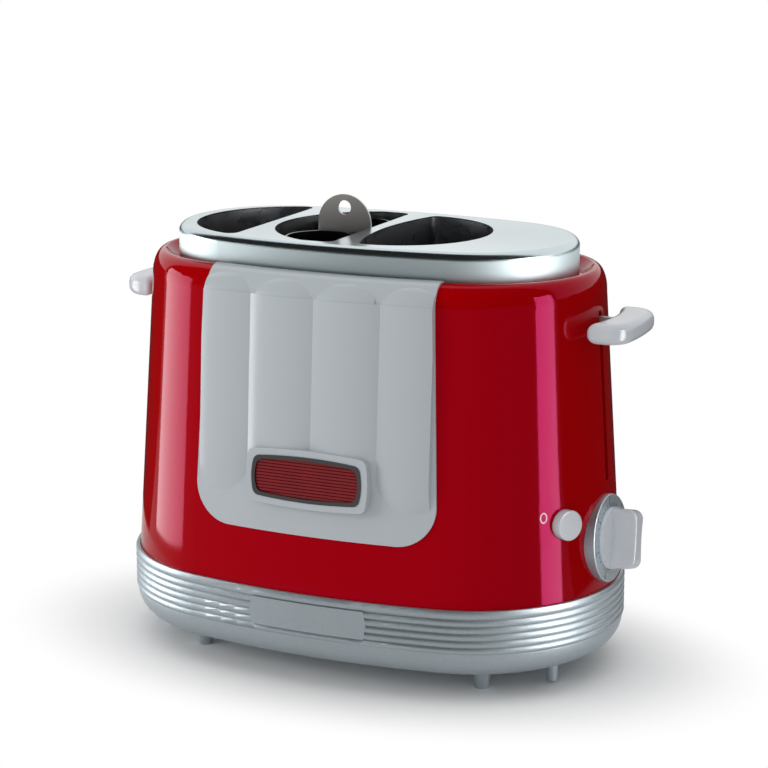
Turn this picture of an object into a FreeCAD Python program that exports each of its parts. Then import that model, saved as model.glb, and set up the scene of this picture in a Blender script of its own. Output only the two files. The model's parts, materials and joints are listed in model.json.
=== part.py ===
import FreeCAD, Part
import math
import os

# Hot dog toaster. Millimetres, +Z up, origin on the table under the middle of the base.
# +X points to the end with the controls, -Y to the fluted front.

# Plan of the base: an oval of four arcs that run into each other
base_half_length = 140.0
base_half_width = 88.0
side_radius = 404.0

# Clearances
slide_gap = 0.3
running_gap = 0.05
seat_gap = 0.1

# Base moulding
base_bottom = 13.0
base_top = 51.0
base_wall = 2.4
base_edge_radius = 14.0
top_bead_height = 4.7
rib_height = 3.8
rib_depth = 0.9
rib_count = 4
last_rib_height = 3.4
rim_inset = 0.9
ledge_depth = 3.0
ledge_width = 5.0

# Chassis deck inside the base
deck_height = 30.0
sheet = 1.2
thin_sheet = 0.6

# Red shell
shell_wall = 2.5
shell_inset = 2.6
shell_draft = 3.8
shoulder_height = 203.0
lip_height = 216.8
lip_half_length = 121.5
lip_half_width = 64.5
groove_depth = 4.8
groove_slope_length = 5.0
groove_slope_width = 2.6
lip_land = 1.0
flange_width = 4.5

# Steel cap, set back from the lip of the shell
cap_setback_length = 9.0
cap_setback_width = 4.0
cap_top = 231.4
cap_sheet = 0.8
cap_roll = 4.6

# Openings of the cap: inner side in the middle and at its ends, outer side, half length
left_slot_inner = -60.0
left_slot_land = 10.5
left_slot_half = 50.0
centre_slot_inner = -2.2
centre_slot_outer = -54.0
centre_slot_half = 51.0
centre_slot_land = 17.0
right_slot_inner = 4.5
right_slot_end = 13.0
right_slot_outer = 64.0
right_slot_half = 49.0
slot_corner = 5.0
collar_depth = 15.0

# Front panel
panel_top_half = 64.5
panel_bottom_half = 70.0
panel_bottom = 82.0
panel_corner = 21.0
panel_recess = 1.5
panel_proud = 0.8
flute_count = 4
flute_pitch = 33.0
flute_width = 34.6
flute_rise = 3.0
flute_crown_radius = 13.0
flute_bottom = 98.0

# Badge on the panel
badge_height_above_table = 112.5
badge_half_length = 31.5
badge_half_height = 12.0
badge_bow = 1.6
badge_corner = 4.0
badge_border = 3.4
badge_border_height = 4.0
badge_frame_rim = 2.0
badge_frame_depth = 3.0
lens_rise = 0.6
lens_bead_count = 12

# Plate on the front of the base
name_plate_half = 32.5
name_plate_point = 1.5

# Feet and cord pegs
foot_x = 83.0
foot_y = 47.0
foot_radius = 5.5
foot_taper = 1.6
peg_x = 114.0
peg_y = 25.0
peg_radius = 3.6
peg_taper = 0.8
peg_clear_of_table = 1.5

# Carriage
lever_travel = 72.0
beam_thickness = 3.0
beam_height = 6.0
beam_top = 128.0
arm_width = 8.0
left_arm_x = -118.0
right_arm_x = 99.0
stem_bottom = 186.0
stem_height = 8.0
lever_slot_width = 4.0
lever_slot_bottom = 107.0
lever_slot_top = 197.0
notch_half = 4.0
shelf_margin = 4.0

# Lever paddles
lever_stand = 12.4
lever_front_left = 12.5
lever_front_right = 27.5
lever_rear = 27.5
lever_bow = 2.5
lever_height = 11.0
lever_corner = 13.0
lever_inner_corner = 2.5
lever_rim_round = 4.5
lever_cover = 9.0
lever_body_gap = 0.7

# Slide block, rods, spring and magnet
bay_wall_x = 72.0
block_start_x = 76.0
block_length = 22.0
block_half_width = 18.0
block_height = 14.0
block_above_beam = 3.0
rod_x = 87.0
rod_y = 12.0
rod_radius = 2.5
bracket_top = 209.0
bracket_half = 20.0
spring_x = 81.0
spring_radius = 3.6
spring_wire = 0.8
armature_height = 2.0
armature_half = 8.0
magnet_gap = 0.2

# Heaters and guards
heater_thickness = 0.8
heater_height = 150.0
heater_centre_left = -57.2
heater_centre_right = 0.6
heater_rise = 1.0
guard_wire = 0.7
guard_setback = 1.6
guard_count = 3
guard_spacing = 12.0

# Sausage basket
well_x = -22.0
well_y = 24.0
well_radius = 18.0
well_sheet = 0.8
well_top = 229.0
well_bottom = 112.0
well_window_count = 8
well_window_width = 7.0
tab_radius = 15.6
tab_centre_height = 232.7
tab_hole_radius = 3.85
tab_hole_height = 241.2
tab_x = -18.4
tab_sheet = 1.2
strap_height = 4.0
strap_low = 140.0
saddle_gap = 0.2

# Dial and its knob, square to the wall of the shell
dial_turn = 2.5
dial_height = 76.5
dial_radius = 23.3
dial_rise = 2.2
dial_depth = 16.0
dial_recess = 0.8
dial_edge_round = 0.7
knob_radius = 16.5
knob_disc = 2.8
knob_reach = 18.0
knob_grip_half = 15.5
knob_grip_width = 8.8
knob_grip_flare = 1.8
knob_grip_end_round = 5.0
knob_grip_round = 1.8
knob_rest_turn = 14.0
shaft_radius = 3.0
shaft_hole_gap = 1.0
shaft_inner = 22.0

# Board with the timer's potentiometer and the switch
board_x = 109.6
board_sheet = 1.6
board_front = -42.0
board_rear = 11.0
board_top = 112.0
pot_radius = 9.5
pot_front = 12.0

# Cancel button
button_turn = 29.5
button_height = 91.8
button_radius = 7.9
button_proud = 4.6
button_round = 0.8
button_travel = 3.0
button_skirt = 3.5
button_stem_radius = 2.5
button_stem_length = 9.5
button_spring_wire = 0.9
switch_half = 4.0

# Crumb tray
tray_gap = 0.4
tray_height = 9.0
tray_start_x = -104.0
tray_end_x = 66.0
tray_half_width = 61.0
tray_scoop_radius = 5.0
tray_scoop_half = 24.0

# Fasteners, gland, terminal block and vents
screw_x = 118.0
screw_y = 10.0
screw_radius = 1.5
screw_head_radius = 3.2
screw_head_height = 2.2
pillar_radius = 5.0
gland_x = 60.0
gland_height = 38.0
gland_radius = 6.5
gland_bore_radius = 3.6
gland_length = 10.0
gland_proud = 2.0
vent_count = 6
vent_pitch = 7.0
vent_width = 3.2
vent_half = 12.0

# Sizes that follow from the ones above
cap_half_length = lip_half_length - cap_setback_length
cap_half_width = lip_half_width - cap_setback_width
flange_half_length = cap_half_length - flange_width
flange_half_width = cap_half_width - flange_width
left_slot_outer = left_slot_land - cap_half_length
lever_reach = base_half_length + lever_stand
deck_top = deck_height + sheet
beam_bottom = beam_top - beam_height
block_top = beam_top + block_above_beam
block_bottom = block_top - block_height
stem_top = stem_bottom + stem_height
groove_floor = lip_height - groove_depth
collar_bottom = cap_top - cap_sheet - collar_depth
chassis_top = groove_floor - shell_wall - slide_gap
wall_half = left_slot_half + thin_sheet + slide_gap
magnet_top = block_bottom - lever_travel - armature_height - magnet_gap
tray_bottom = base_bottom + base_wall + tray_gap
slope = math.tan(math.radians(shell_draft))

X = FreeCAD.Vector(1, 0, 0)
Y = FreeCAD.Vector(0, 1, 0)
Z = FreeCAD.Vector(0, 0, 1)
ORIGIN = FreeCAD.Vector(0, 0, 0)


def point(x, y, z=0.0):
    return FreeCAD.Vector(x, y, z)


def line(start, end):
    return Part.LineSegment(start, end).toShape()


def arc(start, through, end):
    return Part.Arc(start, through, end).toShape()


def box(x, y, z):
    """Box between three (low, high) pairs."""
    corner = point(x[0], y[0], z[0])
    return Part.makeBox(x[1] - x[0], y[1] - y[0], z[1] - z[0], corner)


def prism(face, low, high):
    """Flat face at z = 0 raised into a solid from low to high."""
    solid = face.extrude(point(0, 0, high - low))
    solid.translate(point(0, 0, low))
    return solid


def rod(radius, start, direction, length):
    return Part.makeCylinder(radius, length, start, direction)


def polygon(points):
    return Part.Face(Part.makePolygon(points + points[:1]))


def rounded(face, radius):
    """Flat face with its outer corners rounded."""
    return face.makeOffset2D(-radius).makeOffset2D(radius)


def oval_arcs(half_length, half_width):
    """Side radius, end radius, end arc centre and half turn of the end arc."""
    side = side_radius - (base_half_length - half_length)
    rest = 2 * half_width * side - half_length ** 2 - half_width ** 2
    end = rest / (2 * (side - half_length))
    end_x = half_length - end
    turn = math.atan2(end_x, side - half_width)
    return side, end, end_x, turn


def oval(half_length, half_width, z=0.0):
    side, end, end_x, turn = oval_arcs(half_length, half_width)
    join_x = end_x + end * math.sin(turn)
    join_y = end * math.cos(turn)
    corners = [point(-join_x, -join_y, z), point(join_x, -join_y, z)]
    corners += [point(join_x, join_y, z), point(-join_x, join_y, z)]
    middles = [point(0, -half_width, z), point(half_length, 0, z)]
    middles += [point(0, half_width, z), point(-half_length, 0, z)]
    edges = [arc(corners[i], middles[i], corners[(i + 1) % 4]) for i in range(4)]
    return Part.Wire(edges)


def base_oval(inset, z=0.0):
    return oval(base_half_length - inset, base_half_width - inset, z)


def swept_ring(section):
    """Section of edges in (inset, z), swept round the oval of the base."""
    side, end, end_x, turn = oval_arcs(base_half_length, base_half_width)
    side_y = side - base_half_width
    quarter = math.pi / 2
    stretches = [
        (point(0, side_y), side, -quarter - turn, 2 * turn),
        (point(end_x, 0), end, turn - quarter, math.pi - 2 * turn),
        (point(0, -side_y), side, quarter - turn, 2 * turn),
        (point(-end_x, 0), end, quarter + turn, math.pi - 2 * turn),
    ]
    parts = []
    for centre, radius, start, sweep in stretches:
        edges = []
        for points in section:
            places = [point(radius - inset, 0, z) for inset, z in points]
            edges.append(line(*places) if len(places) == 2 else arc(*places))
        face = Part.Face(Part.Wire(edges))
        face.rotate(ORIGIN, Z, math.degrees(start))
        face.translate(centre)
        parts.append(face.revolve(centre, Z, math.degrees(sweep)))
    return parts[0].fuse(parts[1:]).removeSplitter()


def shell_inset_at(z):
    return shell_inset + (z - base_top) * slope


def shell_form(inward, bottom):
    """Filled outer form of the shell, moved inwards by a thickness."""
    wall_low = shell_inset_at(bottom) + inward
    wall_high = shell_inset_at(shoulder_height) + inward
    rise = lip_height - inward - shoulder_height
    body = Part.makeLoft([base_oval(wall_low, bottom), base_oval(wall_high, shoulder_height)], True, True)
    wide = base_half_length - wall_high
    deep = base_half_width - wall_high
    lip_wide = lip_half_length - inward
    lip_deep = lip_half_width - inward
    levels = []
    steps = 6
    for step in range(steps + 1):
        angle = math.pi / 2 * step / steps
        share = 1 - math.cos(angle)
        height = shoulder_height + rise * math.sin(angle)
        levels.append(oval(wide - share * (wide - lip_wide), deep - share * (deep - lip_deep), height))
    shoulder = Part.makeLoft(levels, True, False)
    return body.fuse(shoulder)


def groove():
    """Sunk ring between the lip and the steel cap, open above."""
    top = oval(lip_half_length - lip_land, lip_half_width - lip_land, lip_height)
    length = lip_half_length - lip_land - groove_slope_length
    width = lip_half_width - lip_land - groove_slope_width
    solid = Part.makeLoft([oval(length, width, groove_floor), top], True, True)
    above = prism(Part.Face(oval(lip_half_length - lip_land, lip_half_width - lip_land)),
                  lip_height, lip_height + panel_proud + 1)
    return solid.fuse(above)


def shell_cavity():
    """Space inside the shell, up to the flange that carries the steel cap."""
    wall_low = shell_inset_at(deck_height) + shell_wall
    wall_high = shell_inset_at(shoulder_height) + shell_wall
    body = Part.makeLoft([base_oval(wall_low, deck_height), base_oval(wall_high, shoulder_height)], True, True)
    top = groove_floor - shell_wall
    narrow = oval(base_half_length - wall_high - shell_wall, base_half_width - wall_high - shell_wall, top)
    head = Part.makeLoft([base_oval(wall_high, shoulder_height), narrow], True, True)
    return body.fuse(head)


def panel_outline():
    """Tapered outline of the front panel as a thick block through the front wall."""
    top = lip_height + panel_proud + 1
    corners = [point(-panel_bottom_half, panel_bottom), point(panel_bottom_half, panel_bottom)]
    corners += [point(panel_top_half, top), point(-panel_top_half, top)]
    face = polygon(corners)
    solid = face.extrude(point(0, 0, base_half_width))
    low = [edge for edge in solid.Edges if edge.BoundBox.ZLength > 1 and edge.BoundBox.YMax < panel_bottom + 1]
    solid = solid.makeFillet(panel_corner, low)
    solid.rotate(ORIGIN, X, 90)
    return solid


def lever_slots():
    slots = []
    for side in (-1, 1):
        ends = sorted((side * right_arm_x, side * (base_half_length + 1)))
        half = lever_slot_width / 2
        slots.append(box(ends, (-half, half), (lever_slot_bottom, lever_slot_top)))
    return slots


def on_wall(solid, turn, height):
    """Moves a solid drawn along +X from the origin onto the shell's end, square to its wall."""
    side, end, end_x, half_turn = oval_arcs(base_half_length, base_half_width)
    reach = end - shell_inset_at(height)
    angle = math.radians(-turn)
    solid.rotate(ORIGIN, Y, -shell_draft)
    solid.rotate(ORIGIN, Z, -turn)
    solid.translate(point(end_x + reach * math.cos(angle), reach * math.sin(angle), height))
    return solid


def dial_rod(radius, low, high):
    return on_wall(rod(radius, point(low, 0, 0), X, high - low), dial_turn, dial_height)


def button_rod(radius, low, high):
    return on_wall(rod(radius, point(low, 0, 0), X, high - low), button_turn, button_height)


def off_board():
    """Everything on the inner side of the board's outer face."""
    return box((0, board_x + board_sheet), (-base_half_width, base_half_width), (0, lip_height))


def outer_shell():
    shell = shell_form(0.0, base_top - ledge_depth)
    shell = shell.cut(shell_cavity()).cut(groove())
    opening = prism(Part.Face(oval(flange_half_length, flange_half_width)), shoulder_height, lip_height)
    recess = panel_outline().cut(shell_form(panel_recess, deck_height))
    shell = shell.cut(opening).cut(recess)
    holes = lever_slots()
    holes.append(button_rod(button_radius + slide_gap, -button_stem_length, button_stem_length))
    holes.append(dial_rod(shaft_radius + shaft_hole_gap, -dial_depth, dial_depth))
    return shell.cut(holes)


def flute(place):
    """Rounded rib of the panel: up the front from a round end, then over the shoulder."""
    side, end, end_x, turn = oval_arcs(base_half_length, base_half_width)
    half = flute_width / 2
    radius = (half ** 2 + flute_rise ** 2) / (2 * flute_rise)
    sag = side - math.sqrt(side ** 2 - place ** 2)
    ends = []
    for z in (flute_bottom + half, shoulder_height):
        skin = -(base_half_width - shell_inset_at(z) - sag) - panel_proud
        ends.append(point(place, skin + radius - flute_rise, z))
    run = ends[1] - ends[0]
    body = rod(radius, ends[0], run, run.Length)
    section = Part.Face(Part.Wire(Part.makeCircle(radius, ends[1])))
    corners = [point(place + x, skin + y, shoulder_height)
               for x, y in ((-half, -flute_rise), (half, -flute_rise), (half, flute_rise), (-half, flute_rise))]
    section = section.common(polygon(corners)).Faces[0]
    axis_y = skin - flute_rise + flute_crown_radius
    crown = section.revolve(point(0, axis_y, shoulder_height), point(-1, 0), 90)
    return body.fuse([Part.makeSphere(radius, ends[0]), crown])


def front_panel():
    outline = panel_outline()
    inner = shell_form(panel_recess, deck_height)
    sheet_form = outline.common(shell_form(-panel_proud, deck_height))
    places = [(index - (flute_count - 1) / 2) * flute_pitch for index in range(flute_count)]
    window = box((-flute_count * flute_pitch / 2, flute_count * flute_pitch / 2),
                 (-base_half_width, -cap_half_width), (flute_bottom, lip_height))
    ribs = [flute(place).common(window) for place in places]
    panel = sheet_form.fuse(ribs)
    panel = panel.fuse(badge_block(badge_half_length + badge_border, badge_half_height + badge_border,
                                   -panel_recess - 3, badge_border_height))
    panel = panel.common(outline).cut(inner).cut(groove())
    pocket = badge_block(badge_half_length, badge_half_height,
                         badge_border_height - badge_frame_depth, badge_border_height + 5)
    return panel.cut(pocket)


def badge_outline(half_length, half_height):
    """Barrel shape: long sides and short ends bow out a little."""
    corner_x = half_length - badge_bow
    corner_y = half_height - badge_bow
    corners = [point(-corner_x, -corner_y), point(corner_x, -corner_y)]
    corners += [point(corner_x, corner_y), point(-corner_x, corner_y)]
    middles = [point(0, -half_height), point(half_length, 0)]
    middles += [point(0, half_height), point(-half_length, 0)]
    edges = [arc(corners[i], middles[i], corners[(i + 1) % 4]) for i in range(4)]
    return rounded(Part.Face(Part.Wire(edges)), badge_corner)


def on_front(solid):
    """Moves a solid drawn on its back onto the sloping front, at the badge's height."""
    solid.rotate(ORIGIN, X, 90 - shell_draft)
    skin = -(base_half_width - shell_inset_at(badge_height_above_table)) - panel_proud
    solid.translate(point(0, skin, badge_height_above_table))
    return solid


def badge_block(half_length, half_height, low, high):
    return on_front(prism(badge_outline(half_length, half_height), low, high))


def badge_frame():
    low = badge_border_height - badge_frame_depth
    high = badge_border_height + seat_gap * 4
    frame = badge_block(badge_half_length, badge_half_height, low, high)
    window = badge_block(badge_half_length - badge_frame_rim, badge_half_height - badge_frame_rim,
                         low + sheet, high + 1)
    return frame.cut(window)


def badge_lens():
    """Clear red tablet with fine level beads across its face."""
    low = badge_border_height - badge_frame_depth + sheet
    face = low + lens_rise
    half_height = badge_half_height - badge_frame_rim
    lens = prism(badge_outline(badge_half_length - badge_frame_rim, half_height), low, face + lens_rise)
    pitch = 2 * half_height / lens_bead_count
    beads = []
    for index in range(lens_bead_count):
        start = point(-badge_half_length, -half_height + (index + 0.5) * pitch, face)
        beads.append(rod(pitch / 2, start, X, 2 * badge_half_length))
    slab = box((-badge_half_length, badge_half_length), (-half_height, half_height), (low, face))
    return on_front(lens.common(slab.fuse(beads)))


def top_cap():
    cap = prism(Part.Face(oval(cap_half_length, cap_half_width)), groove_floor, cap_top)
    cap = rounded_top(cap, cap_top, cap_roll)
    inner_top = cap_top - cap_sheet
    hollow = prism(Part.Face(oval(cap_half_length - cap_sheet, cap_half_width - cap_sheet)),
                   groove_floor, inner_top)
    hollow = rounded_top(hollow, inner_top, cap_roll - cap_sheet)
    cuts = [prism(face, groove_floor, cap_top + 1) for face in slot_faces().values()]
    return cap.cut(hollow).cut(cuts)


def rounded_top(solid, height, radius):
    edges = [edge for edge in solid.Edges if edge.BoundBox.ZMin > height - 0.01]
    return solid.makeFillet(radius, edges)


def slot_face(inner, inner_end, outer, half, land):
    """Leaf or D shape of an opening, from its inner side to its outer arc."""
    way = math.copysign(land, outer - inner)
    start = point(inner_end, -half)
    finish = point(inner_end, half)
    turn_low = point(inner_end + way, -half)
    turn_high = point(inner_end + way, half)
    edges = [arc(turn_low, point(outer, 0), turn_high)]
    if land:
        edges += [line(turn_high, finish), line(start, turn_low)]
    if inner == inner_end:
        edges.append(line(finish, start))
    else:
        edges.append(arc(finish, point(inner, 0), start))
    wire = Part.Wire(Part.__sortEdges__(edges))
    return rounded(Part.Face(wire), slot_corner)


def slot_faces():
    return {
        "left": slot_face(left_slot_inner, left_slot_inner, left_slot_outer, left_slot_half, 0.0),
        "centre": slot_face(centre_slot_inner, centre_slot_inner, centre_slot_outer,
                            centre_slot_half, centre_slot_land),
        "right": slot_face(right_slot_inner, right_slot_end, right_slot_outer, right_slot_half, 0.0),
    }


def sleeve(face, low, high):
    """Thin sheet wall that follows the edge of an opening."""
    return prism(face.makeOffset2D(thin_sheet), low, high).cut(prism(face, low, high))


def slot_collar(name):
    return sleeve(slot_faces()[name], collar_bottom, cap_top - cap_sheet)


def beam_notch(x):
    """Room for the beam over its whole travel."""
    return box(x, (-notch_half, notch_half), (deck_top, beam_top + slide_gap))


def liner(name, side):
    """Curved reflector behind the outer side of a bun slot, down to the deck."""
    faces = slot_faces()
    wall = sleeve(faces[name], deck_top, collar_bottom)
    inner = left_slot_inner if side < 0 else right_slot_end
    ends = sorted((inner + side * slot_corner, side * base_half_length))
    keep = box(ends, (-base_half_width, base_half_width), (deck_top, collar_bottom))
    return wall.common(keep).cut(beam_notch(ends))


def base_section():
    """Outline of the base wall in (inset, z), from its rim down and back up inside."""
    section = []
    start = (rim_inset, base_top)
    heights = [top_bead_height] + [rib_height] * rib_count + [last_rib_height]
    z = base_top
    for height in heights:
        end = (rim_inset, z - height)
        section.append((start, (rim_inset - rib_depth, z - height / 2), end))
        start = end
        z -= height
    edge_z = base_bottom + base_edge_radius
    if z > edge_z:
        section.append((start, (rim_inset, edge_z)))
        start = (rim_inset, edge_z)
    centre = rim_inset + base_edge_radius
    inner_radius = base_edge_radius - base_wall
    half = math.sqrt(0.5)
    floor = (centre, base_bottom)
    section.append((start, (centre - base_edge_radius * half, edge_z - base_edge_radius * half), floor))
    floor_top = (centre, base_bottom + base_wall)
    section.append((floor, floor_top))
    wall = rim_inset + base_wall
    inner = (wall, edge_z)
    section.append((floor_top, (centre - inner_radius * half, edge_z - inner_radius * half), inner))
    rim_inner = shell_inset_at(base_top - ledge_depth) - seat_gap
    ledge_z = base_top - ledge_depth
    corners = [inner, (wall + ledge_width, deck_height - base_wall), (wall + ledge_width, deck_height)]
    corners += [(wall, deck_height), (wall, ledge_z - ledge_width), (wall + ledge_width, ledge_z - base_wall)]
    corners += [(wall + ledge_width, ledge_z), (rim_inner, ledge_z), (rim_inner, base_top), section[0][0]]
    section += list(zip(corners[:-1], corners[1:]))
    return section


def corner_places(x, y):
    return [(side_x * x, side_y * y) for side_x in (-1, 1) for side_y in (-1, 1)]


def tray_space(gap):
    """Room of the crumb tray in the base, widened by a gap."""
    return box((tray_start_x - gap, tray_end_x + gap), (-tray_half_width - gap, base_half_width + 1),
               (tray_bottom - gap, tray_bottom + tray_height + gap))


def base_housing():
    base = swept_ring(base_section())
    floor_inset = rim_inset + base_edge_radius - 1
    base = base.fuse(prism(Part.Face(base_oval(floor_inset)), base_bottom, base_bottom + base_wall))
    pillars = []
    holes = [tray_space(tray_gap)]
    for x, y in corner_places(screw_x, screw_y):
        pillars.append(rod(pillar_radius, point(x, y, base_bottom), Z, deck_height - base_bottom))
        holes.append(rod(screw_radius + seat_gap, point(x, y, base_bottom), Z, deck_height))
        holes.append(rod(screw_head_radius + slide_gap, point(x, y, base_bottom), Z, screw_head_height))
    base = base.fuse(pillars)
    holes.append(rod(gland_radius, point(gland_x, 0, gland_height), Y, base_half_width))
    for index in range(vent_count):
        x = rod_x + (index - (vent_count - 1) / 2) * vent_pitch
        half = vent_width / 2
        holes.append(box((x - half, x + half), (-vent_half, vent_half), (base_bottom, base_bottom + base_wall)))
    for x, y in corner_places(foot_x, foot_y) + corner_places(peg_x, peg_y):
        holes.append(rod(screw_radius, point(x, y, base_bottom), Z, base_wall))
    plate = name_plate_block(rib_depth)
    return base.cut(holes).cut(plate)


def name_plate_block(depth):
    """Flat band on the front ribs whose ends come to a low point."""
    high = base_top - top_bead_height
    low = high - rib_count * rib_height
    middle = (high + low) / 2
    tip = name_plate_half + name_plate_point
    face = polygon([point(-name_plate_half, low), point(name_plate_half, low), point(tip, middle),
                    point(name_plate_half, high), point(-name_plate_half, high), point(-tip, middle)])
    block = face.extrude(point(0, 0, base_half_width))
    block.rotate(ORIGIN, X, 90)
    inside = prism(Part.Face(base_oval(depth + seat_gap)), low - 1, high + 1)
    return block.cut(inside)


def name_plate():
    outside = prism(Part.Face(base_oval(seat_gap)), base_bottom, base_top)
    return name_plate_block(rib_depth).common(outside)


def foot(x, y):
    """Tapered foot whose spigot is pressed into the floor of the base."""
    body = Part.makeCone(foot_radius - foot_taper, foot_radius, base_bottom, point(x, y, 0))
    return body.fuse(rod(screw_radius, point(x, y, base_bottom), Z, base_wall))


def cord_pegs():
    pegs = []
    height = base_bottom - peg_clear_of_table
    for x, y in corner_places(peg_x, peg_y):
        peg = Part.makeCone(peg_radius - peg_taper, peg_radius, height, point(x, y, peg_clear_of_table))
        pegs.append(peg.fuse(rod(screw_radius, point(x, y, base_bottom), Z, base_wall)))
    return Part.makeCompound(pegs)


def base_screws():
    screws = []
    for x, y in corner_places(screw_x, screw_y):
        head = rod(screw_head_radius, point(x, y, base_bottom + seat_gap), Z, screw_head_height - seat_gap)
        shank = rod(screw_radius, point(x, y, base_bottom + seat_gap), Z, deck_top - base_bottom)
        slot = box((x - screw_head_radius, x + screw_head_radius), (y - 0.4, y + 0.4),
                   (base_bottom, base_bottom + 1))
        screws.append(head.fuse(shank).cut(slot))
    return Part.makeCompound(screws)


def chassis_deck():
    wall = rim_inset + base_wall
    deck = prism(Part.Face(base_oval(wall + slide_gap)), deck_height, deck_top)
    holes = [prism(face, deck_height, deck_top) for face in slot_faces().values()]
    for x, y in corner_places(screw_x, screw_y):
        holes.append(rod(screw_radius + seat_gap, point(x, y, deck_height), Z, sheet))
    return deck.cut(holes)


def chassis_plate(side):
    ends = sorted((side * wall_half, side * (wall_half + sheet)))
    return box((left_slot_inner, bay_wall_x + sheet), ends, (deck_top, chassis_top))


def bay_wall():
    wall = box((bay_wall_x, bay_wall_x + sheet), (-wall_half, wall_half), (deck_top, chassis_top))
    return wall.cut(beam_notch((bay_wall_x - 1, bay_wall_x + sheet + 1)))


def heater(centre, side):
    """Mica sheet with the winding's raised bands on it."""
    half = heater_thickness / 2
    low = deck_top + heater_rise
    ends = sorted((side * (notch_half + slide_gap), side * wall_half))
    plate = box((centre - half, centre + half), ends, (low, low + heater_height))
    foot_ends = sorted((side * (wall_half - 4), side * wall_half))
    return plate.fuse(box((centre - half, centre + half), foot_ends, (deck_top, low + 1)))


def guard(centre):
    """Welded cage of upright wires that keeps the bun off the heater."""
    low = deck_top + guard_wire
    high = collar_bottom - guard_wire
    reach = wall_half
    wires = []
    for side in (-1, 1):
        start = point(centre, min(side * notch_half, side * reach), 0)
        for z in (low, high):
            wires.append(rod(guard_wire, start + point(0, 0, z), Y, reach - notch_half))
        for index in range(guard_count):
            place = point(centre, side * (index + 1) * guard_spacing, low)
            wires.append(rod(guard_wire, place, Z, high - low))
    wires.append(rod(guard_wire, point(centre, -notch_half, high), Y, 2 * notch_half))
    return wires[0].fuse(wires[1:])


def rod_bracket():
    start = bay_wall_x + sheet
    end = block_start_x + block_length
    upright = box((start, start + sheet), (-bracket_half, bracket_half),
                  (block_top + rod_radius * 4, bracket_top))
    flange = box((start, end), (-bracket_half, bracket_half), (bracket_top - sheet, bracket_top))
    holes = [rod(rod_radius, point(rod_x, side * rod_y, bracket_top - sheet), Z, sheet) for side in (-1, 1)]
    return upright.fuse(flange).cut(holes)


def guide_rod(side):
    return rod(rod_radius, point(rod_x, side * rod_y, deck_top), Z, bracket_top - deck_top)


def electromagnet():
    core = box((rod_x - armature_half, rod_x + armature_half), (-armature_half, armature_half),
               (deck_top, deck_top + 3))
    coil = rod(armature_half - 1, point(rod_x, 0, deck_top), Z, magnet_top - deck_top - sheet)
    pole = rod(armature_half / 2, point(rod_x, 0, deck_top), Z, magnet_top - deck_top)
    return core.fuse([coil, pole])


def control_board():
    return box((board_x, board_x + board_sheet), (board_front, board_rear), (deck_top, board_top))


def timer_potentiometer():
    can = dial_rod(pot_radius, -shaft_inner - pot_radius, -pot_front).cut(off_board())
    return can.cut(dial_rod(shaft_radius + running_gap, -shaft_inner - pot_radius, 0))


def timer_shaft():
    return dial_rod(shaft_radius, -shaft_inner, dial_rise + knob_disc)


def dial_bezel():
    """Round collar that closes on the curved shell, with a sunk seat for the knob."""
    collar = rod(dial_radius, point(-dial_depth, 0), X, dial_depth + dial_rise)
    face_edges = [edge for edge in collar.Edges if edge.BoundBox.XMin > dial_rise - 0.01]
    collar = on_wall(collar.makeFillet(dial_edge_round, face_edges), dial_turn, dial_height)
    collar = collar.cut(shell_form(0.0, base_top - ledge_depth))
    seat = dial_rod(knob_radius + slide_gap, dial_rise - dial_recess, dial_rise + 1)
    hole = dial_rod(shaft_radius + running_gap, -dial_depth, dial_rise)
    return collar.cut([seat, hole])


def timer_knob():
    """Disc with an upright grip bar, waisted for the fingers and bored for the shaft."""
    low = dial_rise - dial_recess + slide_gap
    half = knob_grip_width / 2 + knob_grip_flare
    disc = rod(knob_radius, point(low, 0, 0), X, knob_disc)
    grip = box((low, knob_reach), (-half, half), (-knob_grip_half, knob_grip_half))
    ends = [edge for edge in grip.Edges if edge.BoundBox.XMin > knob_reach - 0.01 and edge.BoundBox.ZLength < 0.01]
    grip = grip.makeFillet(knob_grip_end_round, ends)
    waist = (knob_grip_half ** 2 + knob_grip_flare ** 2) / (2 * knob_grip_flare)
    away = knob_grip_width / 2 + waist
    grip = grip.cut([rod(waist, point(low, side * away), X, knob_reach) for side in (-1, 1)])
    rims = [edge for edge in grip.Edges if edge.BoundBox.XMax > knob_reach - knob_grip_end_round + 0.01
            and edge.BoundBox.YLength < 2 * knob_grip_flare]
    knob = disc.fuse(grip.makeFillet(knob_grip_round, rims))
    knob.rotate(ORIGIN, X, -knob_rest_turn)
    knob = on_wall(knob, dial_turn, dial_height)
    return knob.cut(timer_shaft())


def cancel_button():
    cap = rod(button_radius, point(-button_skirt, 0, 0), X, button_skirt + button_proud)
    front = [edge for edge in cap.Edges if edge.BoundBox.XMin > button_proud - 0.01]
    cap = cap.makeFillet(button_round, front)
    stem = rod(button_stem_radius, point(-button_stem_length, 0, 0), X, button_stem_length)
    return on_wall(cap.fuse(stem), button_turn, button_height)


def cancel_switch():
    """Push switch in line with the button, standing on the board."""
    depth = button_stem_length + button_travel + seat_gap
    body = box((-depth - 20, -depth), (-switch_half, switch_half), (-switch_half, switch_half))
    return on_wall(body, button_turn, button_height).cut(off_board())


def button_spring():
    low = -button_stem_length - button_travel
    high = -button_skirt - seat_gap
    inner = button_stem_radius + slide_gap
    return button_rod(inner + button_spring_wire, low, high).cut(button_rod(inner, low, high))


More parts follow.
